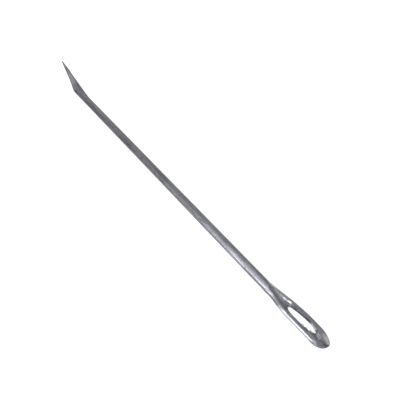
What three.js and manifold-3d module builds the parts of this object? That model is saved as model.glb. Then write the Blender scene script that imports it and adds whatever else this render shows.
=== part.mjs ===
import * as THREE from "three";
import { mergeVertices, toCreasedNormals } from "three/addons/utils/BufferGeometryUtils.js";
import Module from "manifold-3d";

// Bent sack needle, one piece of steel wire, in millimetres.
// X runs along the shank, from the point to the eye, and Z is the way the thread goes
// through the eye. The blade bends toward +Y, and the two Z sides are alike.

// Overall
const needleLength = 127;

// Shank, round, thinner toward the blade
const shankEyeDiameter = 3.3;
const shankBladeDiameter = 2.14;

// Eye plate, stamped flat from the thick end of the wire
const plateLength = 27.9;
const plateWidth = 5.8;
const plateThickness = 2.2;
const plateEdgeRounding = 0.8;
const plateEdgeSquareness = 3;
const plateWidestFromEnd = 9.6;
const plateEndRounding = 6;
const neckLength = 9;

// The plate isn't true to the shank: it is set over toward the bend, leans that way, and
// its end is cut askew
const plateSetOver = 0.28;
const setOverLength = 4.2;
const plateLeanAngle = 1.5;
const leanFromEnd = { start: 21, end: 10.5 };
const endSkew = { amount: 0.38, length: 2.4 };

// Eye, a long slot with rounded lips
const eyeLength = 12.35;
const eyeWidth = 2.65;
const eyeFromEnd = 6.05;
const eyeSetOver = 0.06;
const eyeLeanAngle = 3.6;
const eyeSquareness = 2.4;
const lipRadius = 0.25;
const lipAngle = 80;

// Thread gutters on both faces: a long one toward the shank, a short one toward the end
const longGutter = { length: 9.6, width: 3, depth: 0.72, sharpness: 1.3 };
const shortGutter = { length: 2.5, width: 1.4, depth: 0.5, sharpness: 1 };
const gutterNose = 2.2;

// Blade, bent over and ground to a flat back and two facets that meet in a keel
const bendFromTip = 13.3;
const bendAngle = 9.2;
const bendLength = 3.8;
const bladeWidth = 2.3;
const backGrind = 0.28;
const heelFromTip = 9.8;
const keelAngle = 70;
const keelHollow = 0.2;
const pointDepth = 0.2;

// Smoothness of the curves
const arcSteps = 16;
const shankStations = 8;
const bendStations = 8;
const bladeStations = 8;
const outlineSteps = 22;
const slotSides = 48;
const lipSteps = 5;
const gutterStations = 18;
const gutterSides = 24;

// How far a cutter reaches past what it cuts, how far past the heel the facets may run out,
// and the slope at which the back's cutter leaves the shank
const clear = 1.5;
const facetRunOut = 4.5;
const backRunOutSlope = 0.25;

const slope = (degrees) => Math.tan(THREE.MathUtils.degToRad(degrees));
const squared = (value, squareness) => Math.sign(value) * Math.abs(value) ** (2 / squareness);
const endX = needleLength / 2;
const bendX = bendFromTip - endX;
const heelX = heelFromTip - endX;
const plateStartX = endX - plateLength;

// Shank radius at x. The same taper runs on under the blade.
function shankRadius(x) {
  const share = (x - bendX) / (plateStartX - bendX);
  return THREE.MathUtils.lerp(shankBladeDiameter, shankEyeDiameter, share) / 2;
}

// Height of the needle's back at x: the top of the shank, a soft bend, then the straight blade.
function backY(x) {
  const corner = shankRadius(bendX);
  const start = bendX + bendLength / 2;
  const end = bendX - bendLength / 2;
  const endY = corner + (bendX - end) * slope(bendAngle);
  if (x >= start) return shankRadius(x);
  if (x <= end) return endY + (end - x) * slope(bendAngle);
  const t = (start - x) / bendLength;
  return (1 - t) ** 2 * shankRadius(start) + 2 * t * (1 - t) * corner + t ** 2 * endY;
}

// Height of the keel at x, between the heel and the point: a chord, ground slightly hollow.
function keelY(x) {
  const share = (x + endX) / heelFromTip;
  const chord = THREE.MathUtils.lerp(backY(-endX) - pointDepth, -shankRadius(heelX), share);
  const along = THREE.MathUtils.clamp(share, 0, 1);
  return chord + keelHollow * 4 * along * (1 - along);
}

// How far the neck has gone, at x, from the round wire to the flat plate.
function neckShare(x) {
  return THREE.MathUtils.smoothstep(x, plateStartX, plateStartX + neckLength);
}

// What the rounding of the plate's end leaves of its thickness at x.
function endShare(x) {
  const thin = plateThickness / 2;
  const fromRound = Math.max(0, x - (endX - thin));
  return Math.sqrt(Math.max(0, thin ** 2 - fromRound ** 2)) / thin;
}

// Half the plate's thickness at x.
function plateHalf(x) {
  const root = shankEyeDiameter / 2;
  return THREE.MathUtils.lerp(root, plateThickness / 2, neckShare(x)) * endShare(x);
}

// Middle of the eye plate at x: set over in the neck, then leaning, and askew at the end.
function plateY(x) {
  const setOver = THREE.MathUtils.smoothstep(x, plateStartX, plateStartX + setOverLength);
  const leanStart = endX - leanFromEnd.start;
  const leanEnd = endX - leanFromEnd.end;
  const run = THREE.MathUtils.clamp(x, leanStart, leanEnd) - leanStart;
  const skew = Math.max(0, 1 - (endX - x) / endSkew.length) ** 2;
  return plateSetOver * setOver + run * slope(plateLeanAngle) + endSkew.amount * skew;
}

// Half of the plate's outline: a flare from the shank, a straight side and a rounded end.
function plateOutline() {
  const flareStart = 0.25;
  const flareEnd = 0.6;
  const widestX = endX - plateWidestFromEnd;
  const flare = widestX - plateStartX;
  const half = plateWidth / 2;
  const root = shankEyeDiameter / 2;
  const outline = new THREE.Path();
  outline.moveTo(plateStartX, root);
  outline.bezierCurveTo(
    plateStartX + flare * flareStart,
    root,
    widestX - flare * flareEnd,
    half,
    widestX,
    half,
  );
  outline.lineTo(endX - plateEndRounding, half);
  outline.absellipse(endX - plateEndRounding, 0, plateEndRounding, half, Math.PI / 2, 0, true);
  return outline.getPoints(outlineSteps);
}

// Evenly spaced values from one to another.
function steps(from, to, count) {
  return Array.from({ length: count + 1 }, (_, i) => from + ((to - from) * i) / count);
}

// A section across X: two half ovals, drawn apart by a flat of twice its half-width. They are
// ellipses at a squareness of 2, and squarer above it.
function section(x, y, flatHalf, radiusY, radiusZ, squareness = 2) {
  const half = (side, from) =>
    steps(from, from + Math.PI, arcSteps).map(
      (angle) =>
        new THREE.Vector3(
          x,
          y + side * flatHalf + radiusY * squared(Math.cos(angle), squareness),
          radiusZ * squared(Math.sin(angle), squareness),
        ),
    );
  return [...half(1, -Math.PI / 2), ...half(-1, Math.PI / 2)];
}

// A closed skin over rings that follow each other, each turning right-handed about their way.
function skin(rings) {
  const size = rings[0].length;
  const last = (rings.length - 1) * size;
  const corners = [];
  for (let start = 0; start < last; start += size) {
    for (let i = 0; i < size; i++) {
      const a = start + i;
      const b = start + ((i + 1) % size);
      corners.push(a, b, b + size, a, b + size, a + size);
    }
  }
  for (let i = 1; i < size - 1; i++) {
    corners.push(0, i + 1, i, last, last + i, last + i + 1);
  }
  const geometry = new THREE.BufferGeometry().setFromPoints(rings.flat());
  geometry.setIndex(corners);
  return geometry;
}

const wasm = await Module();
wasm.setup();

// A closed mesh as a solid. Triangles that shrank to a line when points merged are dropped.
function solid(geometry) {
  const merged = mergeVertices(geometry, 1e-5);
  const all = merged.index.array;
  const kept = [];
  for (let i = 0; i < all.length; i += 3) {
    const [a, b, c] = all.slice(i, i + 3);
    if (a !== b && b !== c && c !== a) kept.push(a, b, c);
  }
  const mesh = new wasm.Mesh({
    numProp: 3,
    vertProperties: merged.attributes.position.array,
    triVerts: new Uint32Array(kept),
  });
  return new wasm.Manifold(mesh);
}

// A solid as a three.js geometry, smooth but for its real edges.
function geometryOf(shape) {
  const mesh = shape.getMesh();
  const geometry = new THREE.BufferGeometry();
  geometry.setAttribute("position", new THREE.BufferAttribute(mesh.vertProperties, 3));
  geometry.setIndex(new THREE.BufferAttribute(mesh.triVerts, 1));
  const edgeAngle = 0.5;
  return toCreasedNormals(geometry, edgeAngle);
}

// Blade before grinding: as deep as the shank's underside and the raised back leave it.
function bladeSections() {
  const start = bendX + bendLength / 2;
  const end = bendX - bendLength / 2;
  const places = [
    ...steps(-endX, end, bladeStations).slice(0, -1),
    ...steps(end, start, bendStations).slice(0, -1),
  ];
  return places.map((x) => {
    const formed = 1 - THREE.MathUtils.smoothstep(x, end, start);
    const top = backY(x) + backGrind * formed;
    const bottom = -shankRadius(x);
    const halfWidth = THREE.MathUtils.lerp(shankRadius(x), bladeWidth / 2, formed);
    return section(x, (top + bottom) / 2, 0, (top - bottom) / 2, halfWidth);
  });
}

function shankSections() {
  return steps(bendX + bendLength / 2, plateStartX, shankStations)
    .slice(0, -1)
    .map((x) => section(x, 0, 0, shankRadius(x), shankRadius(x)));
}

function plateSections() {
  return plateOutline().map((point) => {
    const { x, y } = point;
    const edge = THREE.MathUtils.lerp(shankEyeDiameter / 2, plateEdgeRounding, neckShare(x));
    const radius = edge * endShare(x);
    const flat = Math.max(0, y - radius);
    const squareness = THREE.MathUtils.lerp(2, plateEdgeSquareness, neckShare(x));
    return section(x, plateY(x), flat, radius, plateHalf(x), squareness);
  });
}

// The slot, as an oval that opens at both faces along a quarter round.
function slotCutter() {
  const face = plateThickness / 2;
  const wall = face - lipRadius;
  const lip = steps(0, 1, lipSteps).map((share) => {
    const angle = share * THREE.MathUtils.degToRad(lipAngle);
    return [wall + lipRadius * Math.sin(angle), lipRadius * (1 - Math.cos(angle))];
  });
  const upper = [...lip, [face + clear, lipRadius + clear]];
  const levels = [...upper.map(([z, grow]) => [-z, grow]).reverse(), ...upper];
  const middleX = endX - eyeFromEnd - eyeLength / 2;
  const rings = levels.map(([z, grow]) =>
    steps(0, 2 * Math.PI, slotSides)
      .slice(0, -1)
      .map(
        (angle) =>
          new THREE.Vector3(
            (eyeLength / 2 + grow) * squared(Math.cos(angle), eyeSquareness),
            (eyeWidth / 2 + grow) * squared(Math.sin(angle), eyeSquareness),
            z,
          ),
      ),
  );
  const cutter = skin(rings);
  cutter.rotateZ(THREE.MathUtils.degToRad(eyeLeanAngle));
  cutter.translate(middleX, plateY(middleX) + eyeSetOver, 0);
  return solid(cutter);
}

// A gutter, the print of a tapered punch laid on the face, from its point at one x to the eye.
// The punch's nose comes to nothing inside the slot.
function gutterCutter(gutter, pointX, eyeX, side) {
  const end = 1 + gutterNose / gutter.length;
  const rings = steps(0, end, gutterStations).map((share) => {
    const x = THREE.MathUtils.lerp(pointX, eyeX, share);
    const past = Math.max(0, share - 1) / (end - 1);
    const nose = Math.sqrt(1 - past ** 2);
    const swell = Math.sin((Math.min(share, 1) * Math.PI) / 2) ** gutter.sharpness;
    const halfWidth = (gutter.width / 2) * swell * nose;
    const depth = gutter.depth * Math.min(share, 1) * nose;
    return steps(0, 2 * Math.PI, gutterSides)
      .slice(0, -1)
      .map(
        (angle) =>
          new THREE.Vector3(
            x,
            plateY(x) + halfWidth * Math.cos(angle),
            side * plateHalf(x) + depth * Math.sin(angle),
          ),
      );
  });
  return solid(skin(pointX < eyeX ? rings : rings.reverse()));
}

// Takes the blade's rounded back down to one flat that runs out at the bend.
function backCutter() {
  const start = bendX + bendLength / 2;
  const end = bendX - bendLength / 2;
  const high = backY(-endX) + backGrind + clear;
  const reach = bladeWidth;
  const across = (x, low) => [
    new THREE.Vector3(x, low, -reach),
    new THREE.Vector3(x, high, -reach),
    new THREE.Vector3(x, high, reach),
    new THREE.Vector3(x, low, reach),
  ];
  const places = [-endX - clear, ...steps(end, start, bendStations)];
  const rings = places.map((x) => across(x, backY(x)));
  const runOut = across(start + clear, backY(start) + clear * backRunOutSlope);
  return solid(skin([...rings, runOut]));
}

// Leaves two facets that fall from the flanks to the keel.
function keelCutter() {
  const reach = bladeWidth;
  const rise = reach / slope(keelAngle / 2);
  const last = heelX + facetRunOut;
  const low = keelY(last) - clear;
  const across = (x) => [
    new THREE.Vector3(x, keelY(x), 0),
    new THREE.Vector3(x, keelY(x) + rise, reach),
    new THREE.Vector3(x, low, reach),
    new THREE.Vector3(x, low, -reach),
    new THREE.Vector3(x, keelY(x) + rise, -reach),
  ];
  const places = [-endX - clear, ...steps(-endX, heelX, bladeStations), last];
  return solid(skin(places.map(across)));
}

function makeNeedle() {
  const blank = solid(skin([...bladeSections(), ...shankSections(), ...plateSections()]));
  const innerEnd = endX - eyeFromEnd - eyeLength;
  const outerEnd = endX - eyeFromEnd;
  let needle = blank.subtract(slotCutter());
  for (const side of [1, -1]) {
    needle = needle
      .subtract(gutterCutter(longGutter, innerEnd - longGutter.length, innerEnd, side))
      .subtract(gutterCutter(shortGutter, outerEnd + shortGutter.length, outerEnd, side));
  }
  return needle.subtract(backCutter()).subtract(keelCutter());
}

const steel = new THREE.MeshStandardMaterial({
  color: 0x66656d,
  roughness: 0.36,
  metalness: 1,
});

const needle = new THREE.Mesh(geometryOf(makeNeedle()), steel);
needle.name = "needle";

// The origin is in the middle of what the needle covers, at the height of its underside.
const group = new THREE.Group();
group.add(needle);
const box = new THREE.Box3().setFromObject(needle);
const middle = box.getCenter(new THREE.Vector3());
needle.position.set(-middle.x, -middle.y, -box.min.z);

export default group;
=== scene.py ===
import math

import bmesh
import bpy
import numpy as np
from mathutils import Matrix, Vector, noise
from mathutils.bvhtree import BVHTree


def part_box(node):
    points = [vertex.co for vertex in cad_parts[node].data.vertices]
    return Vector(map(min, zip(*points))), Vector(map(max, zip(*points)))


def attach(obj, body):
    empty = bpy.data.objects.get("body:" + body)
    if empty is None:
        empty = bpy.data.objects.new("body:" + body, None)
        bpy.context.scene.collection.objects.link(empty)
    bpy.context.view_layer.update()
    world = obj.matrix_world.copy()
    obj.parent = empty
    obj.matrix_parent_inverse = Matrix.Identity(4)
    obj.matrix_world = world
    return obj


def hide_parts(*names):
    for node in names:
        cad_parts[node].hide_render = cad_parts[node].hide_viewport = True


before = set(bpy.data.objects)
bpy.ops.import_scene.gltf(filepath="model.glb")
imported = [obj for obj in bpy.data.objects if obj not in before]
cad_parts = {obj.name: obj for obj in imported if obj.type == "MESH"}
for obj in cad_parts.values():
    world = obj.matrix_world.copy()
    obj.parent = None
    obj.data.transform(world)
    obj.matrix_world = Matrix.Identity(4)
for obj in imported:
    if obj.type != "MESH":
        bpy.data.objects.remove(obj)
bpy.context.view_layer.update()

# A bent sack needle: one drawn steel wire, with a ground blade and a stamped eye.
# The frame is in metres. Shapes are worked on in millimetres and scaled back at the end.
mm = 0.001

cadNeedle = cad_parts["needle"]
lowest, highest = (np.array(corner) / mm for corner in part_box("needle"))
tipX, endX = lowest[0], highest[0]
margin = 0.0001    # how far inside the solid's box everything stays


# Meshes as arrays of points, and soft steps between lengths

halfWay = 0.5      # share of the way to its neighbours that a point moves in one round
pushBack = 0.53    # share that it moves out again, where nothing may shrink


def readPlaces(mesh):
    places = np.empty(len(mesh.vertices) * 3)
    mesh.vertices.foreach_get("co", places)
    return places.reshape(-1, 3)


def readNormals(mesh):
    normals = np.empty(len(mesh.vertices) * 3)
    mesh.vertex_normals.foreach_get("vector", normals)
    return normals.reshape(-1, 3)


def readEdges(mesh):
    edges = np.empty(len(mesh.edges) * 2, np.int32)
    mesh.edges.foreach_get("vertices", edges)
    return edges.reshape(-1, 2)


def writePlaces(mesh, places):
    mesh.vertices.foreach_set("co", places.astype(np.float32).ravel())
    mesh.update()


def pullToNeighbours(values, edges, amount):
    # each point moves by that share toward the middle of its neighbours
    a, b = edges.T
    count = len(values)
    shares = np.bincount(edges.ravel(), minlength=count)
    moved = np.empty_like(values)
    for k in range(3):
        sums = np.bincount(a, values[b, k], count) + np.bincount(b, values[a, k], count)
        moved[:, k] = sums / shares
    return values + amount * (moved - values)


def soften(values, edges, rounds):
    for _ in range(rounds):
        values = pullToNeighbours(values, edges, halfWay)
    return values


def melt(places, edges, weight, rounds):
    # smooths without shrinking: a pull in, then a slightly larger push out
    for _ in range(rounds):
        places = pullToNeighbours(places, edges, halfWay * weight)
        places = pullToNeighbours(places, edges, -pushBack * weight)
    return places


def smoothStep(value, low, high):
    share = np.clip((value - low) / (high - low), 0, 1)
    return share * share * (3 - 2 * share)


def band(value, starts, full, stays, ends):
    # 1 between full and stays, fading to 0 at both ends
    return smoothStep(value, starts, full) * (1 - smoothStep(value, stays, ends))


def hump(value, middle, reach):
    # 1 in the middle, fading to both sides
    return np.exp(-(((value - middle) / reach) ** 2))


# Fine mesh of the needle, taken from its solid

fineMesh = {
    "join": 1e-8,                      # metres within which the solid's corners are one
    "voxel": 0.08,                     # grid across the wire
    "stretch": 2.6,                    # how much longer the grid's cells are along the wire
    "smoothing": 14,                   # rounds that melt the solid's facets
    "bladeEnds": (9.5, 12.5),          # from the tip: the blade keeps its ground edges up to here
    "bladeSmoothing": 45,              # rounds that even out those edges
    "pointLength": 2.5,                # length over which the point gets its own length back
    "bladeFullness": 0.05,             # how much fuller than the solid
    "pointFullness": 0.09,
    "pointBand": (-1.8, 2.6, 3, 6),    # from the tip: starts, full, full, ends
    "wireFullness": 0.045,
    "wireEnds": (97, 101),
    "thickWire": (60, 85),             # past here only the sides of the wire get fuller
    "heelSide": 0.7,                   # extra share there on the heel's side
    "neckFullness": 0.12,
    "neckAt": 100.3,
    "neckReach": 1.6,
}


def applied(piece):
    # the piece's mesh with its modifiers worked in
    depsgraph = bpy.context.evaluated_depsgraph_get()
    made = bpy.data.meshes.new_from_object(piece.evaluated_get(depsgraph))
    old = piece.data
    piece.modifiers.clear()
    piece.data = made
    bpy.data.meshes.remove(old)
    return made


def gridPiece(mesh):
    # a piece with an even grid over the mesh, its cells longer along the wire
    mesh.transform(Matrix.Diagonal((1 / fineMesh["stretch"], 1, 1, 1)))
    piece = bpy.data.objects.new("needle_fine", mesh)
    bpy.context.scene.collection.objects.link(piece)
    grid = piece.modifiers.new("grid", "REMESH")
    grid.mode = "VOXEL"
    grid.voxel_size = fineMesh["voxel"]
    applied(piece).transform(Matrix.Diagonal((fineMesh["stretch"], 1, 1, 1)))
    return piece


def settle(places, solid, share):
    # brings each point back to the solid's surface, by its own share
    moved = places.copy()
    for k in np.flatnonzero(share):
        nearest = solid.find_nearest(places[k].tolist())[0]
        moved[k] += share[k] * (np.array(nearest) - places[k])
    return moved


def restorePoint(places):
    # smoothing and fullness change the needle's length, which the point takes back
    short = places[:, 0].min() - tipX
    fades = smoothStep(places[:, 0], tipX + short, tipX + fineMesh["pointLength"])
    places[:, 0] -= short * (1 - fades)
    return short


def extraFullness(fromTip, onBlade, normals):
    fuller = fineMesh["bladeFullness"] * onBlade
    fuller += fineMesh["pointFullness"] * band(fromTip, *fineMesh["pointBand"])
    thick = smoothStep(fromTip, *fineMesh["thickWire"])
    sideways = 1 - thick * (1 - normals[:, 1] ** 2)
    sideways += fineMesh["heelSide"] * thick * np.maximum(0, -normals[:, 1])
    onWire = (1 - onBlade) * (1 - smoothStep(fromTip, *fineMesh["wireEnds"]))
    fuller += fineMesh["wireFullness"] * onWire * sideways
    atNeck = hump(fromTip, fineMesh["neckAt"], fineMesh["neckReach"])
    return fuller + fineMesh["neckFullness"] * atNeck * normals[:, 1] ** 2


def makeFineNeedle():
    mesh = cadNeedle.data.copy()
    work = bmesh.new()
    work.from_mesh(mesh)
    bmesh.ops.remove_doubles(work, verts=work.verts, dist=fineMesh["join"])
    bmesh.ops.scale(work, verts=work.verts, vec=(1 / mm, 1 / mm, 1 / mm))
    work.to_mesh(mesh)
    solid = BVHTree.FromBMesh(work)
    work.free()
    piece = gridPiece(mesh)
    mesh = piece.data
    edges = readEdges(mesh)
    places = melt(readPlaces(mesh), edges, 1, fineMesh["smoothing"])
    restorePoint(places)
    fromTip = places[:, 0] - tipX
    onBlade = 1 - smoothStep(fromTip, *fineMesh["bladeEnds"])
    places = settle(places, solid, onBlade)
    writePlaces(mesh, places)
    normals = readNormals(mesh)
    places += normals * extraFullness(fromTip, onBlade, normals)[:, None]
    places = melt(places, edges, onBlade[:, None], fineMesh["bladeSmoothing"])
    short = restorePoint(places)
    writePlaces(mesh, np.clip(places, lowest + margin, highest - margin))
    print("fine mesh:", len(mesh.vertices), "points, point moved by", round(-short, 3), "mm")
    return piece


needle = makeFineNeedle()


# Where the wire and the slot lie

slotLine = {"fromEnd": (6.1, 18.5), "across": (0.15, -0.78)}
midShank = 5    # how far to both sides of its middle the shank is measured


def shankAxis(places):
    # the middle of the wire, halfway along
    ring = places[np.abs(places[:, 0]) < midShank]
    return (ring[:, 1].min() + ring[:, 1].max()) / 2, (ring[:, 2].min() + ring[:, 2].max()) / 2


def slotY(fromEnd):
    # the slot's middle line, which leans toward the bend's side at the end
    return np.interp(fromEnd, slotLine["fromEnd"], slotLine["across"])


axisY, axisZ = shankAxis(readPlaces(needle.data))
print("wire axis at y", round(axisY, 3), "z", round(axisZ, 3))


# Bevelled rim: the narrow slope that the dies leave along both edges of the plate

bevel = {
    "width": 0.53,
    "angle": 23.5,
    "band": (2.2, 3.9, 19.0, 21.5),        # from the end: starts, full, full, ends
    "corner": 0.3,                         # fills the heel's side out before it is bevelled
    "farCorner": 0.08,
    "cornerFacing": (0.05, 0.3),           # how far a face turns outward to belong to it
    "endCorner": 0.22,                     # fuller end, on the heel's side
    "endFades": (2, 4.6),
    "neckShare": 0.6,                      # share of it where the plate begins
    "neckBand": (19.5, 21.5, 23.5, 26),
    "heelFacing": (0.1, 0.6),
    "softness": 0.015,
    "step": 0.25,                          # pitch at which the plate's outline is measured
}


def fromRim(places):
    # how far each point lies inside the plate's nearer edge, seen from above
    slots = ((endX - places[:, 0]) / bevel["step"]).astype(int)
    lower = np.zeros(slots.max() + 1)
    upper = np.zeros(slots.max() + 1)
    np.minimum.at(lower, slots, places[:, 1])
    np.maximum.at(upper, slots, places[:, 1])
    middles = (np.arange(len(lower)) + 0.5) * bevel["step"]
    fromEnd = endX - places[:, 0]
    toLower = places[:, 1] - np.interp(fromEnd, middles, lower)
    toUpper = np.interp(fromEnd, middles, upper) - places[:, 1]
    return np.minimum(toLower, toUpper)


def fillCorners(places, normals, fromEnd, inBevel):
    outward = smoothStep(normals[:, 1] * np.sign(places[:, 1] - slotY(fromEnd)), *bevel["cornerFacing"])
    corner = inBevel * outward * (2 * normals[:, 1] * normals[:, 2]) ** 2
    corner *= np.where(normals[:, 1] < 0, bevel["corner"], bevel["farCorner"])
    places += normals * corner[:, None]
    fuller = 1 - smoothStep(fromEnd, *bevel["endFades"])
    fuller += bevel["neckShare"] * band(fromEnd, *bevel["neckBand"])
    heelward = smoothStep(-normals[:, 1], *bevel["heelFacing"])
    places[:, 1] -= bevel["endCorner"] * fuller * heelward
    places[:, 1] = np.clip(places[:, 1], lowest[1], highest[1])


def bevelRim(piece):
    places = readPlaces(piece.data)
    fromEnd = endX - places[:, 0]
    inBevel = band(fromEnd, *bevel["band"])
    fillCorners(places, readNormals(piece.data), fromEnd, inBevel)
    height = places[:, 2] - axisZ
    full, stays = bevel["band"][1:3]
    flat = np.abs(height[(fromEnd > full) & (fromEnd < stays)]).max()
    drop = math.tan(math.radians(bevel["angle"])) * np.maximum(0, bevel["width"] - fromRim(places))
    limit = flat - drop + (1 - inBevel) * flat
    gap = np.abs(height) - limit
    lower = (np.abs(height) + limit - np.sqrt(gap ** 2 + bevel["softness"] ** 2)) / 2
    places[:, 2] = axisZ + np.sign(height) * lower
    writePlaces(piece.data, places)
    print("bevelled rim: plate half", round(float(flat), 3), "mm")


bevelRim(needle)


# Relief: what drawing, stamping, grinding and use left on the surface

relief = {
    "shankStarts": (9, 15),              # from the tip
    "shankEnds": (20, 27),               # from the end, like all other places here
    "plateEnds": (22, 28),
    "waves": 0.006,                      # uneven wire: height, then pitch along and across
    "wavePitch": (5, 2, 2),
    "flutes": 0.004,                     # drawing lines along the shank
    "flutePitch": (30, 0.5, 0.5),
    "plateFlutes": 0.5,                  # share of them that is left on the plate
    "stampMarks": 0.02,                  # uneven plate where the dies pressed it
    "stampPitch": (2.8, 1.4, 1.4),
    "slotBand": (6, 6.6, 17.8, 18.5),
    "lip": 0.1,                          # sharper lips along the slot
    "lipFacing": (0.1, 0.4),             # how far a face turns into the slot to belong to it
    "wallFacing": (0.35, 0.8),
    "ragged": 0.05,                      # uneven cut along the slot's lower side
    "raggedPitch": (0.55, 4, 1.2),
    "worn": 0.05,                        # the thread has worn the slot wider
    "teeth": [                           # from the end, how far into the slot, half length
        (14.0, 0.14, 0.5),
        (11.0, 0.4, 0.25),
        (9.4, 0.4, 0.28),
        (8.6, -1.1, 0.3),
        (7.9, 0.4, 0.22),
    ],
    "upperWorn": 0.1,                    # and its upper side: depth, place, half length
    "upperWornAt": 11,
    "upperWornReach": 1.8,
    "nicks": 26,
    "nickDepth": 0.03,
    "nickDepths": (0.3, 1),              # smallest and largest share of the depth
    "nickRadius": 0.3,
    "nickRadii": (0.5, 1.2),
    "nickLength": 1.8,                   # how much longer than wide
    "nickSlope": 2.5,
    "seed": 5,
}

# Shifts that keep one noise from repeating another
noiseShift = {"waves": 0, "flutes": 7, "stampMarks": 19, "ragged": 31, "strokes": 43}


def noiseAt(places, pitch, use):
    # smooth noise from -1 to 1, with its own pitch along each axis
    scaled = places / np.asarray(pitch, float) + noiseShift[use]
    return np.array([noise.noise(point) for point in scaled.tolist()])


def nickDepths(places):
    # small oval dents, scattered
    draw = np.random.default_rng(relief["seed"])
    depth = np.zeros(len(places))
    for _ in range(relief["nicks"]):
        spot = draw.integers(len(places))
        reach = relief["nickRadius"] * draw.uniform(*relief["nickRadii"])
        away = (places - places[spot]) / (reach * np.array([relief["nickLength"], 1, 1]))
        pit = np.exp(-relief["nickSlope"] * (away ** 2).sum(1))
        depth += relief["nickDepth"] * draw.uniform(*relief["nickDepths"]) * pit
    return depth


def slotWear(places, normals, fromEnd):
    # sharper lips, a ragged lower wall with its teeth, and a worn upper wall
    besideSlot = band(fromEnd, *relief["slotBand"])
    inward = -normals[:, 1] * np.sign(places[:, 1] - slotY(fromEnd))
    lip = smoothStep(inward, *relief["lipFacing"]) * (2 * inward * normals[:, 2]) ** 2
    wear = relief["lip"] * besideSlot * lip
    lowerWall = besideSlot * smoothStep(normals[:, 1], *relief["wallFacing"])
    lowerWall *= places[:, 1] < slotY(fromEnd)
    ragged = relief["ragged"] * noiseAt(places, relief["raggedPitch"], "ragged") - relief["worn"]
    for middle, into, reach in relief["teeth"]:
        ragged += into * hump(fromEnd, middle, reach)
    wear += ragged * lowerWall
    upperWall = besideSlot * smoothStep(-normals[:, 1], *relief["wallFacing"])
    upperWall *= places[:, 1] > slotY(fromEnd)
    wornAt = hump(fromEnd, relief["upperWornAt"], relief["upperWornReach"])
    return wear - relief["upperWorn"] * wornAt * upperWall


def addRelief(piece):
    mesh = piece.data
    places = readPlaces(mesh)
    normals = readNormals(mesh)
    fromEnd = endX - places[:, 0]
    shank = smoothStep(places[:, 0] - tipX, *relief["shankStarts"])
    shank *= smoothStep(fromEnd, *relief["shankEnds"])
    plate = 1 - smoothStep(fromEnd, *relief["plateEnds"])
    waves = noiseAt(places, relief["wavePitch"], "waves")
    flutes = noiseAt(places, relief["flutePitch"], "flutes")
    stampMarks = noiseAt(places, relief["stampPitch"], "stampMarks")
    height = relief["waves"] * waves * (shank + plate)
    height += relief["flutes"] * flutes * (shank + relief["plateFlutes"] * plate)
    height += relief["stampMarks"] * stampMarks * plate
    height += slotWear(places, normals, fromEnd)
    height -= nickDepths(places)
    places = places + normals * height[:, None]
    writePlaces(mesh, np.clip(places, lowest + margin, highest - margin))
    print("relief: up to", round(float(np.abs(height).max()), 3), "mm")


addRelief(needle)


# Masks that the finishes read: worn edges, hollows that keep dirt, the plate, and strokes of painted shade
# and painted highlights

masks = {
    "rounds": 10,                  # of softening, to see what stands out
    "wornEdge": (0.012, 0.05),     # how far it stands out
    "hollow": (0.0, 0.035),        # how far it lies in
    "plateEnds": (20, 27),         # from the end
    "noWall": (0.4, 0.8),          # how far a face turns up or down, to be no wall
}
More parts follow.
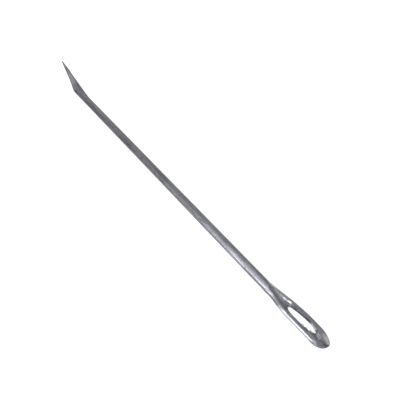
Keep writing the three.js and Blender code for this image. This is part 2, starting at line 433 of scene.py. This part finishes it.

# Strokes of painted shade and of painted highlights: width, strength, then points from the eye's end and
# across
strokes = {
    # painted shade: darker tone laid where shadow and dark reflections fall
    "paintedShade": [
        (0.3, 0.35, [(26.2, -0.35), (24.0, -0.55), (22.1, -0.9)]),      # below the long gutter
        (0.3, 0.5, [(22.1, -0.9), (19.5, -1.0), (18.2, -1.25)]),
        (0.35, 0.5, [(18.8, 0.0), (17.5, 0.7), (16.2, 1.15)]),          # round the slot's head
        (0.22, 0.65, [(20.6, 0.45), (19.2, 0.68), (17.9, 0.92)]),
        (0.25, 0.9, [(18.9, -0.2), (18.7, -0.05)]),
        (0.25, 0.9, [(17.6, 0.65), (17.4, 0.75)]),
        (0.2, 0.9, [(16.5, 0.87), (16.0, 1.05)]),
        (0.25, 0.7, [(17.3, -1.9), (16.9, -1.92)]),
        (0.2, 0.9, [(11.0, -1.8), (10.8, -1.82)]),
        (0.25, 0.8, [(16.2, 0.75), (14.6, 1.05), (11.7, 1.42), (9.7, 1.6), (7.4, 1.5)]),
        (0.25, 0.6, [(7.0, 1.3), (6.3, 1.1), (5.9, 0.5)]),              # round its other end
        (0.3, 0.4, [(5.9, 0.8), (5.1, 0.75)]),
        (0.2, 0.5, [(6.1, 0.25), (6.05, -0.15)]),
        (0.3, 0.85, [(6.9, -0.85), (5.2, -1.1), (4.3, -0.9)]),
        (0.25, 0.5, [(4.3, -0.9), (2.6, -0.5), (1.4, -0.45)]),
        (0.3, 0.95, [(9.8, -1.5), (8.4, -1.55)]),                       # below the slot's teeth
        (0.2, 0.6, [(15.4, -1.75), (10.9, -1.8), (9.4, -1.8)]),
        (0.5, 0.85, [(1.6, -0.6), (0.9, -0.45)]),                       # at the very end
        (0.5, 0.95, [(0.9, -0.3), (0.0, 0.5)]),
        (0.2, 0.35, [(4.9, -2.8), (3.6, -2.5)]),                        # on the rim
        (0.25, 0.8, [(6.25, 0.75), (6.05, 0.4)]),                       # at the slot's end
        (0.45, 0.4, [(24.3, -1.4), (23.4, -1.75), (22.4, -2.0), (21.4, -2.2)]),     # at the neck
        (0.3, 0.2, [(27.0, -1.3), (25.2, -1.4)]),
        (0.9, 0.15, [(88.0, -0.6), (66.0, -0.6)]),                      # along the shank
        (0.7, 0.4, [(117.6, -0.7), (116.2, -1.2)]),                     # behind the blade's heel
        (0.8, 0.4, [(118.1, 0.1), (118.1, -0.8)]),
        (0.8, 0.2, [(124.4, 2.0), (122.8, 1.5)]),                       # at the point
    ],
    # painted highlights: lighter tone laid where reflections of the lamps and the floor fall
    "paintedHighlight": [
        (0.25, 0.4, [(28.5, 0.7), (26.0, 0.62), (24.6, 0.7)]),          # bank of the long gutter
        (0.22, 0.15, [(24.0, 0.55), (21.8, 0.62)]),
        (0.15, 0.85, [(21.5, 0.6), (20.2, 0.82), (19.2, 1.09), (18.7, 1.22)]),
        (0.35, 0.12, [(24.0, 1.0), (21.0, 1.6), (18.5, 2.0), (16.0, 2.2)]),     # above it
        (0.22, 0.12, [(12.0, 1.85), (9.0, 1.85), (5.6, 1.75)]),
        (0.4, 0.15, [(25.5, 0.05), (21.0, 0.05)]),                      # slope of the long gutter
        (0.6, 0.4, [(3.8, 1.6), (2.8, 1.35)]),                          # round the end
        (0.6, 0.6, [(2.8, 1.35), (1.6, 1.1), (0.9, 0.7)]),
        (0.4, 0.45, [(5.1, -0.25), (4.3, -0.4)]),                       # short gutter
        (0.3, 0.25, [(20.6, -2.15), (18.5, -2.5), (13.0, -2.7), (5.8, -2.6)]),    # bevelled rim
        (0.3, 0.12, [(56.0, -1.7), (38.0, -1.85)]),                     # side of the shank
        (0.35, 0.13, [(47.0, -0.6), (38.5, -0.6)]),
        (0.35, 0.26, [(38.5, -0.6), (27.8, -0.68)]),
        (0.22, 0.75, [(5.4, -2.4), (4.1, -2.15)]),                      # end of the bevelled rim
        (0.3, 0.1, [(9.0, -1.75), (5.0, -1.7)]),
    ],
    # painted reflections: lighter tone on the slot's wall and the plate's outer edge
    "wallPaintedHighlight": [
        (0.4, 1.0, [(9.2, 1.3), (7.2, 1.1)]),                           # inside the slot
        (0.4, 0.5, [(20.6, -2.4), (18.5, -2.8), (13.0, -3.0), (6.4, -2.95)]),     # outer edge
    ],
    "unevenness": 0.5,
    "pitch": 0.6,
}


def strokeMask(places, lines):
    spots = np.column_stack((endX - places[:, 0], places[:, 1]))
    mask = np.zeros(len(places))
    for width, strength, points in lines:
        for start, end in zip(points[:-1], points[1:]):
            start = np.array(start)
            run = np.array(end) - start
            share = np.clip((spots - start) @ run / (run @ run), 0, 1)
            away = np.linalg.norm(spots - start - share[:, None] * run, axis=1)
            mask = np.maximum(mask, strength * hump(away, 0, width))
    patchy = 1 + strokes["unevenness"] * noiseAt(places, strokes["pitch"], "strokes")
    return np.clip(mask * patchy, 0, 1)


def giveMask(mesh, name, values):
    layer = mesh.attributes.new(name, "FLOAT", "POINT")
    layer.data.foreach_set("value", values.astype(np.float32))


def addMasks(piece):
    mesh = piece.data
    places = readPlaces(mesh)
    normals = readNormals(mesh)
    soft = soften(places, readEdges(mesh), masks["rounds"])
    swell = ((places - soft) * normals).sum(1)
    onWall = 1 - smoothStep(np.abs(normals[:, 2]), *masks["noWall"])
    # painted reflections, on walls only
    wallPaintedHighlight = strokeMask(places, strokes["wallPaintedHighlight"]) * onWall
    giveMask(mesh, "wornEdge", smoothStep(swell, *masks["wornEdge"]))
    giveMask(mesh, "hollow", smoothStep(-swell, *masks["hollow"]))
    giveMask(mesh, "plate", 1 - smoothStep(endX - places[:, 0], *masks["plateEnds"]))
    # painted shade, from its strokes
    giveMask(mesh, "paintedShade", strokeMask(places, strokes["paintedShade"]))
    # painted highlights, from their strokes and on the walls
    giveMask(mesh, "paintedHighlight", np.maximum(strokeMask(places, strokes["paintedHighlight"]), wallPaintedHighlight))
    print("masks: edges stand out by up to", round(float(swell.max()), 3), "mm")


addMasks(needle)


# Nodes, and node groups shared by the finishes


def feed(tree, socket, value):
    # a link from another socket, or a constant
    if isinstance(value, bpy.types.NodeSocket):
        tree.links.new(value, socket)
    else:
        socket.default_value = value


def newGroup(name, inputs, outputs):
    group = bpy.data.node_groups.new(name, "ShaderNodeTree")
    for label, kind, value in inputs:
        socket = group.interface.new_socket(name=label, in_out="INPUT", socket_type=kind)
        if value is not None:
            socket.default_value = value
    for label, kind in outputs:
        group.interface.new_socket(name=label, in_out="OUTPUT", socket_type=kind)
    return group, group.nodes.new("NodeGroupInput"), group.nodes.new("NodeGroupOutput")


def useGroup(tree, group, **inputs):
    node = tree.nodes.new("ShaderNodeGroup")
    node.node_tree = group
    for key, value in inputs.items():
        feed(tree, node.inputs[key], value)
    return node


def maths(tree, operation, *values):
    node = tree.nodes.new("ShaderNodeMath")
    node.operation = operation
    for socket, value in zip(node.inputs, values):
        feed(tree, socket, value)
    return node.outputs[0]


def spread(tree, value, low, high, toLow=0.0, toHigh=1.0):
    # stretches a range of values to another, with soft ends
    node = tree.nodes.new("ShaderNodeMapRange")
    node.interpolation_type = "SMOOTHSTEP"
    tree.links.new(value, node.inputs["Value"])
    node.inputs["From Min"].default_value = low
    node.inputs["From Max"].default_value = high
    node.inputs["To Min"].default_value = toLow
    node.inputs["To Max"].default_value = toHigh
    return node.outputs["Result"]


def noiseNode(tree, vector, scale, detail, roughness):
    node = tree.nodes.new("ShaderNodeTexNoise")
    tree.links.new(vector, node.inputs["Vector"])
    feed(tree, node.inputs["Scale"], scale)
    node.inputs["Detail"].default_value = detail
    node.inputs["Roughness"].default_value = roughness
    return node.outputs["Fac"]


def mapped(tree, vector, scale, turn=(0, 0, 0)):
    node = tree.nodes.new("ShaderNodeMapping")
    tree.links.new(vector, node.inputs["Vector"])
    node.inputs["Scale"].default_value = scale
    node.inputs["Rotation"].default_value = turn
    return node.outputs["Vector"]


def placesInMm(tree):
    coords = tree.nodes.new("ShaderNodeTexCoord")
    return mapped(tree, coords.outputs["Object"], (1 / mm, 1 / mm, 1 / mm))


def mixColour(tree, share, first, second):
    node = tree.nodes.new("ShaderNodeMix")
    node.data_type = "RGBA"
    for socket, value in ((node.inputs[0], share), (node.inputs[6], first), (node.inputs[7], second)):
        feed(tree, socket, value)
    return node.outputs[2]


def attribute(tree, name):
    node = tree.nodes.new("ShaderNodeAttribute")
    node.attribute_name = name
    return node.outputs["Fac"]


def addBump(tree, steel, height, settings):
    bump = tree.nodes.new("ShaderNodeBump")
    bump.inputs["Strength"].default_value = settings["bump"]
    bump.inputs["Distance"].default_value = settings["bumpHeight"] * mm
    tree.links.new(height, bump.inputs["Height"])
    tree.links.new(bump.outputs["Normal"], steel.inputs["Normal"])


def newMaterial(name):
    material = bpy.data.materials.new(name)
    material.use_nodes = True
    tree = material.node_tree
    return material, tree, tree.nodes["Principled BSDF"]


# Detail and roughness of each noise, and the range of it that shows
mottleNoise = {"coarse": (3, 0.6), "patches": (0.32, 0.68), "finer": 6.0, "fine": (2, 0.5)}
linesNoise = {"lines": (4, 0.65), "scratches": (0.56, 0.72)}


def makeMottle():
    # soft patches of oxide, in two sizes
    group, given, out = newGroup(
        "mottle",
        [("Vector", "NodeSocketVector", None), ("Size", "NodeSocketFloat", 1.0)],
        [("Mask", "NodeSocketFloat"), ("Fine", "NodeSocketFloat")],
    )
    vector, size = given.outputs["Vector"], given.outputs["Size"]
    coarse = noiseNode(group, vector, size, *mottleNoise["coarse"])
    finer = maths(group, "MULTIPLY", size, mottleNoise["finer"])
    fine = noiseNode(group, vector, finer, *mottleNoise["fine"])
    group.links.new(spread(group, coarse, *mottleNoise["patches"]), out.inputs["Mask"])
    group.links.new(fine, out.inputs["Fine"])
    return group


def makeLines():
    # fine lines that run along the vector's first axis, from drawing or grinding
    group, given, out = newGroup(
        "fine lines",
        [
            ("Vector", "NodeSocketVector", None),
            ("Pitch", "NodeSocketFloat", 0.1),
            ("Length", "NodeSocketFloat", 10.0),
        ],
        [("Height", "NodeSocketFloat"), ("Scratch", "NodeSocketFloat")],
    )
    parts = group.nodes.new("ShaderNodeSeparateXYZ")
    group.links.new(given.outputs["Vector"], parts.inputs[0])
    joined = group.nodes.new("ShaderNodeCombineXYZ")
    for k, divisor in enumerate(("Length", "Pitch", "Pitch")):
        scaled = maths(group, "DIVIDE", parts.outputs[k], given.outputs[divisor])
        group.links.new(scaled, joined.inputs[k])
    lines = noiseNode(group, joined.outputs[0], 1.0, *linesNoise["lines"])
    group.links.new(lines, out.inputs["Height"])
    group.links.new(spread(group, lines, *linesNoise["scratches"]), out.inputs["Scratch"])
    return group


mottleGroup = makeMottle()
linesGroup = makeLines()


# Dark drawn steel of the shank and the stamped eye

drawnSteel = {
    "dark": (0.12, 0.119, 0.135, 1),
    "light": (0.195, 0.196, 0.218, 1),
    "rubbed": (0.36, 0.365, 0.40, 1),
    "dirt": (0.085, 0.084, 0.098, 1),
    # colour of the painted shade
    "paintedShade": (0.05, 0.05, 0.062, 1),
    # colour of the painted highlights
    "paintedHighlightColour": (0.6, 0.61, 0.66, 1),
    "edgeTint": (0.8, 0.82, 0.86, 1),
    "layers": [                  # mask, how much of it shows, colour
        ("scratch", 0.25, "rubbed"),
        ("plate", 0.12, "rubbed"),
        ("wornEdge", 0.55, "rubbed"),
        ("hollow", 0.3, "dirt"),
        # painted shade laid into the colour
        ("paintedShade", 1, "paintedShade"),
        # painted highlights laid into the colour
        ("paintedHighlight", 1, "paintedHighlightColour"),
    ],
    "mottleStretch": (0.12, 1, 1),
    "mottleSize": 0.7,
    "roughSpread": (0.3, 0.7),
    "smooth": 0.22,
    "rough": 0.36,
    "paintedShadeRoughness": 0.4,
    "linePitch": 0.11,
    "lineLength": 12.0,
    "bump": 0.45,
    "bumpHeight": 0.012,
}


def makeDrawnSteel():
    material, tree, steel = newMaterial("drawn_steel")
    inMm = placesInMm(tree)
    stretched = mapped(tree, inMm, drawnSteel["mottleStretch"])
    mottle = useGroup(tree, mottleGroup, Vector=stretched, Size=drawnSteel["mottleSize"])
    lines = useGroup(
        tree, linesGroup, Vector=inMm, Pitch=drawnSteel["linePitch"], Length=drawnSteel["lineLength"]
    )
    base = mixColour(tree, mottle.outputs["Mask"], drawnSteel["dark"], drawnSteel["light"])
    for name, share, colour in drawnSteel["layers"]:
        mask = lines.outputs["Scratch"] if name == "scratch" else attribute(tree, name)
        shown = maths(tree, "MULTIPLY", mask, share)
        base = mixColour(tree, shown, base, drawnSteel[colour])
    tree.links.new(base, steel.inputs["Base Color"])
    rough = spread(
        tree, mottle.outputs["Fine"], *drawnSteel["roughSpread"], drawnSteel["smooth"], drawnSteel["rough"]
    )
    # rougher where shade is painted
    roughnessOfPaintedShade = maths(tree, "MULTIPLY", attribute(tree, "paintedShade"), drawnSteel["paintedShadeRoughness"])
    tree.links.new(maths(tree, "ADD", rough, roughnessOfPaintedShade), steel.inputs["Roughness"])
    addBump(tree, steel, lines.outputs["Height"], drawnSteel)
    steel.inputs["Metallic"].default_value = 1
    steel.inputs["Specular Tint"].default_value = drawnSteel["edgeTint"]
    return material


# Ground steel of the blade's facets and back

groundSteel = {
    "dark": (0.12, 0.118, 0.132, 1),
    "light": (0.24, 0.24, 0.26, 1),
    # colour of the painted shade on the blade
    "paintedShade": (0.05, 0.05, 0.062, 1),
    "edgeTint": (0.2, 0.2, 0.22, 1),
    "roughness": 0.3,
    "lineAngle": 68,
    "linePitch": 0.07,
    "lineLength": 2.5,
    "bump": 0.5,
    "bumpHeight": 0.008,
    "evenness": 8,         # rounds that even out the edge of the ground faces
    "facetTurn": -0.3,     # how far a face turns toward the heel's side to be a facet
    "facetEnd": 9.9,       # from the tip
    "backTurn": 0.85,
    "backEnd": 12,
}


def makeGroundSteel():
    material, tree, steel = newMaterial("ground_steel")
    across = mapped(tree, placesInMm(tree), (1, 1, 1), (0, 0, math.radians(groundSteel["lineAngle"])))
    lines = useGroup(
        tree, linesGroup, Vector=across, Pitch=groundSteel["linePitch"], Length=groundSteel["lineLength"]
    )
    base = mixColour(tree, lines.outputs["Height"], groundSteel["dark"], groundSteel["light"])
    # painted shade laid into the colour
    base = mixColour(tree, attribute(tree, "paintedShade"), base, groundSteel["paintedShade"])
    tree.links.new(base, steel.inputs["Base Color"])
    addBump(tree, steel, lines.outputs["Height"], groundSteel)
    steel.inputs["Roughness"].default_value = groundSteel["roughness"]
    steel.inputs["Metallic"].default_value = 1
    steel.inputs["Specular Tint"].default_value = groundSteel["edgeTint"]
    return material


def paintNeedle(piece):
    mesh = piece.data
    mesh.materials.clear()
    mesh.materials.append(makeDrawnSteel())
    mesh.materials.append(makeGroundSteel())
    count = len(mesh.polygons)
    turns = soften(readNormals(mesh), readEdges(mesh), groundSteel["evenness"])
    corners = np.empty(count * 4, np.int32)    # the grid has four-sided faces only
    mesh.polygons.foreach_get("vertices", corners)
    turns = turns[corners.reshape(-1, 4), 1].mean(1)
    centres = np.empty(count * 3)
    mesh.polygons.foreach_get("center", centres)
    fromTip = centres.reshape(-1, 3)[:, 0] - tipX
    onFacets = (turns < groundSteel["facetTurn"]) & (fromTip < groundSteel["facetEnd"])
    onBack = (turns > groundSteel["backTurn"]) & (fromTip < groundSteel["backEnd"])
    ground = (onFacets | onBack).astype(np.int32)
    mesh.polygons.foreach_set("material_index", ground)
    mesh.polygons.foreach_set("use_smooth", np.ones(count, bool))
    mesh.update()
    print("ground faces:", int(ground.sum()), "of", count)


paintNeedle(needle)
needle.data.transform(Matrix.Scale(mm, 4))
needle.data.update()
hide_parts("needle")
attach(needle, "root")


# Studio: pale floor, soft light from all round, and softboxes

studio = {
    "skyNear": 0.6,           # light from the heel's side
    "skyFar": 1.08,           # light from the side that the blade bends to
    "floorSize": 3.0,         # metres
    "floorColour": (0.6, 0.6, 0.6, 1),
    "floorRoughness": 0.9,
    "floorSheen": 0.1,
    "floorGlow": 0.7,         # what the camera and reflections see on top of its own light
}

# Places and sizes in mm
softboxes = {
    "eye_light": {"at": (57, -132, 110), "aim": (57, 0, 3), "size": (66, 250), "radiance": 4.4},
    "core_light": {"at": (58, -148, 75), "aim": (58, 0, 3), "size": (66, 50), "radiance": 5.5},
    "line_light": {"at": (8, -98, 142), "aim": (8, 0, 3), "size": (50, 16), "radiance": 4},
    "shank_light": {"at": (22, -16, 160), "aim": (22, 0, 3), "size": (32, 56), "radiance": 1.8},
    "blade_light": {"at": (-149, -150, 108), "aim": (-59, 0, 3), "size": (40, 40), "radiance": 3.6},
}


def makeFloor():
    material, tree, plain = newMaterial("pale_floor")
    plain.inputs["Base Color"].default_value = studio["floorColour"]
    plain.inputs["Roughness"].default_value = studio["floorRoughness"]
    plain.inputs["Specular IOR Level"].default_value = studio["floorSheen"]
    seen = tree.nodes.new("ShaderNodeLightPath")
    rays = maths(tree, "MAXIMUM", seen.outputs["Is Camera Ray"], seen.outputs["Is Glossy Ray"])
    rays = maths(tree, "MAXIMUM", rays, seen.outputs["Is Transmission Ray"])
    glow = maths(tree, "MULTIPLY", rays, studio["floorGlow"])
    plain.inputs["Emission Color"].default_value = (1, 1, 1, 1)
    tree.links.new(glow, plain.inputs["Emission Strength"])
    half = studio["floorSize"] / 2
    mesh = bpy.data.meshes.new("floor")
    corners = [(-half, -half, 0), (half, -half, 0), (half, half, 0), (-half, half, 0)]
    mesh.from_pydata(corners, [], [(0, 1, 2, 3)])
    mesh.materials.append(material)
    floor = bpy.data.objects.new("floor", mesh)
    bpy.context.scene.collection.objects.link(floor)


def makeSky():
    # one soft gradient from side to side
    world = bpy.data.worlds.new("sky")
    world.use_nodes = True
    tree = world.node_tree
    way = tree.nodes.new("ShaderNodeTexCoord")
    parts = tree.nodes.new("ShaderNodeSeparateXYZ")
    tree.links.new(way.outputs["Generated"], parts.inputs[0])
    strength = spread(tree, parts.outputs[1], -1, 1, studio["skyNear"], studio["skyFar"])
    background = tree.nodes["Background"]
    background.inputs["Color"].default_value = (1, 1, 1, 1)
    tree.links.new(strength, background.inputs["Strength"])
    bpy.context.scene.world = world


def makeSoftbox(name, box):
    lamp = bpy.data.lights.new(name, "AREA")
    lamp.shape = "RECTANGLE"
    lamp.size = box["size"][0] * mm
    lamp.size_y = box["size"][1] * mm
    lamp.energy = box["radiance"] * math.pi * lamp.size * lamp.size_y
    place = bpy.data.objects.new(name, lamp)
    place.location = Vector(box["at"]) * mm
    way = Vector(box["aim"]) - Vector(box["at"])
    place.rotation_euler = way.to_track_quat("-Z", "Y").to_euler()
    place.visible_camera = False
    bpy.context.scene.collection.objects.link(place)


makeFloor()
makeSky()
for label, box in softboxes.items():
    makeSoftbox(label, box)
print("studio:", len(softboxes), "softboxes")


# Camera: above the needle, rolled a little round the wire toward the heel's side

camera = {
    "lens": 300,
    "sensor": 36,
    "viewWidth": 129.8,
    "roll": 17,
    "needleTurn": 45.98,       # how far the needle points below the picture's right side
    "aimAlong": 0.23,          # what the picture's middle shows, from the needle's middle
    "aimAside": 3.88,
    "clip": (0.05, 10),        # metres
}


def makeCamera():
    data = bpy.data.cameras.new("camera")
    data.lens = camera["lens"]
    data.sensor_width = camera["sensor"]
    data.clip_start, data.clip_end = camera["clip"]
    roll = math.radians(camera["roll"])
    turn = math.radians(camera["needleTurn"])
    along = Vector((1, 0, 0))
    aside = Vector((0, math.cos(roll), math.sin(roll)))
    back = Vector((0, -math.sin(roll), math.cos(roll)))
    right = along * math.cos(turn) + aside * math.sin(turn)
    up = -along * math.sin(turn) + aside * math.cos(turn)
    aim = Vector((0, axisY, axisZ)) + along * camera["aimAlong"] + aside * camera["aimAside"]
    distance = camera["viewWidth"] / camera["sensor"] * camera["lens"]
    facing = Matrix((right, up, back)).transposed().to_4x4()
    place = bpy.data.objects.new("camera", data)
    place.matrix_world = Matrix.Translation((aim + back * distance) * mm) @ facing
    bpy.context.scene.collection.objects.link(place)
    bpy.context.scene.camera = place
    print("camera:", round(distance), "mm away")


makeCamera()
bpy.context.scene.view_settings.view_transform = "Standard"
